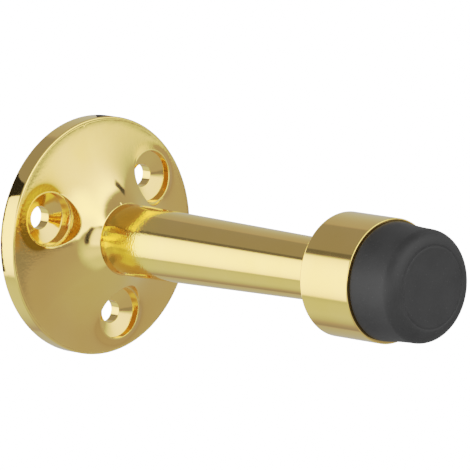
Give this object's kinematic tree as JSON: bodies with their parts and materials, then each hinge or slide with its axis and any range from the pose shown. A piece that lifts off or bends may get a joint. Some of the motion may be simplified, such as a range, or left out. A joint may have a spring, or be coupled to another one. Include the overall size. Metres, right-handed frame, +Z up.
{
  "type": "wall door stop",
  "caption": "Wall-mounted projection door stop: a round brass rose with countersunk screw holes, a tapered stem, and a cup with a rubber buffer.",
  "frame": {"origin": "centre of the back face of the rose, on the wall", "axes": "+Y into the wall, -Y along the stem towards the door, +Z up the wall"},
  "size_m": [0.038, 0.076, 0.038],
  "materials": {
    "polished_brass": "polished",
    "zinc_plated_steel": "bright zinc plate",
    "black_rubber": "matt moulded"
  },
  "bodies": {
    "root": {"rose": "polished_brass", "stem": "polished_brass", "stem_screw": "zinc_plated_steel", "stem_lock_washer": "zinc_plated_steel", "buffer_cup": "polished_brass", "cup_screw": "zinc_plated_steel", "cup_washer": "zinc_plated_steel", "buffer": "black_rubber"}
  },
  "joints": []
}
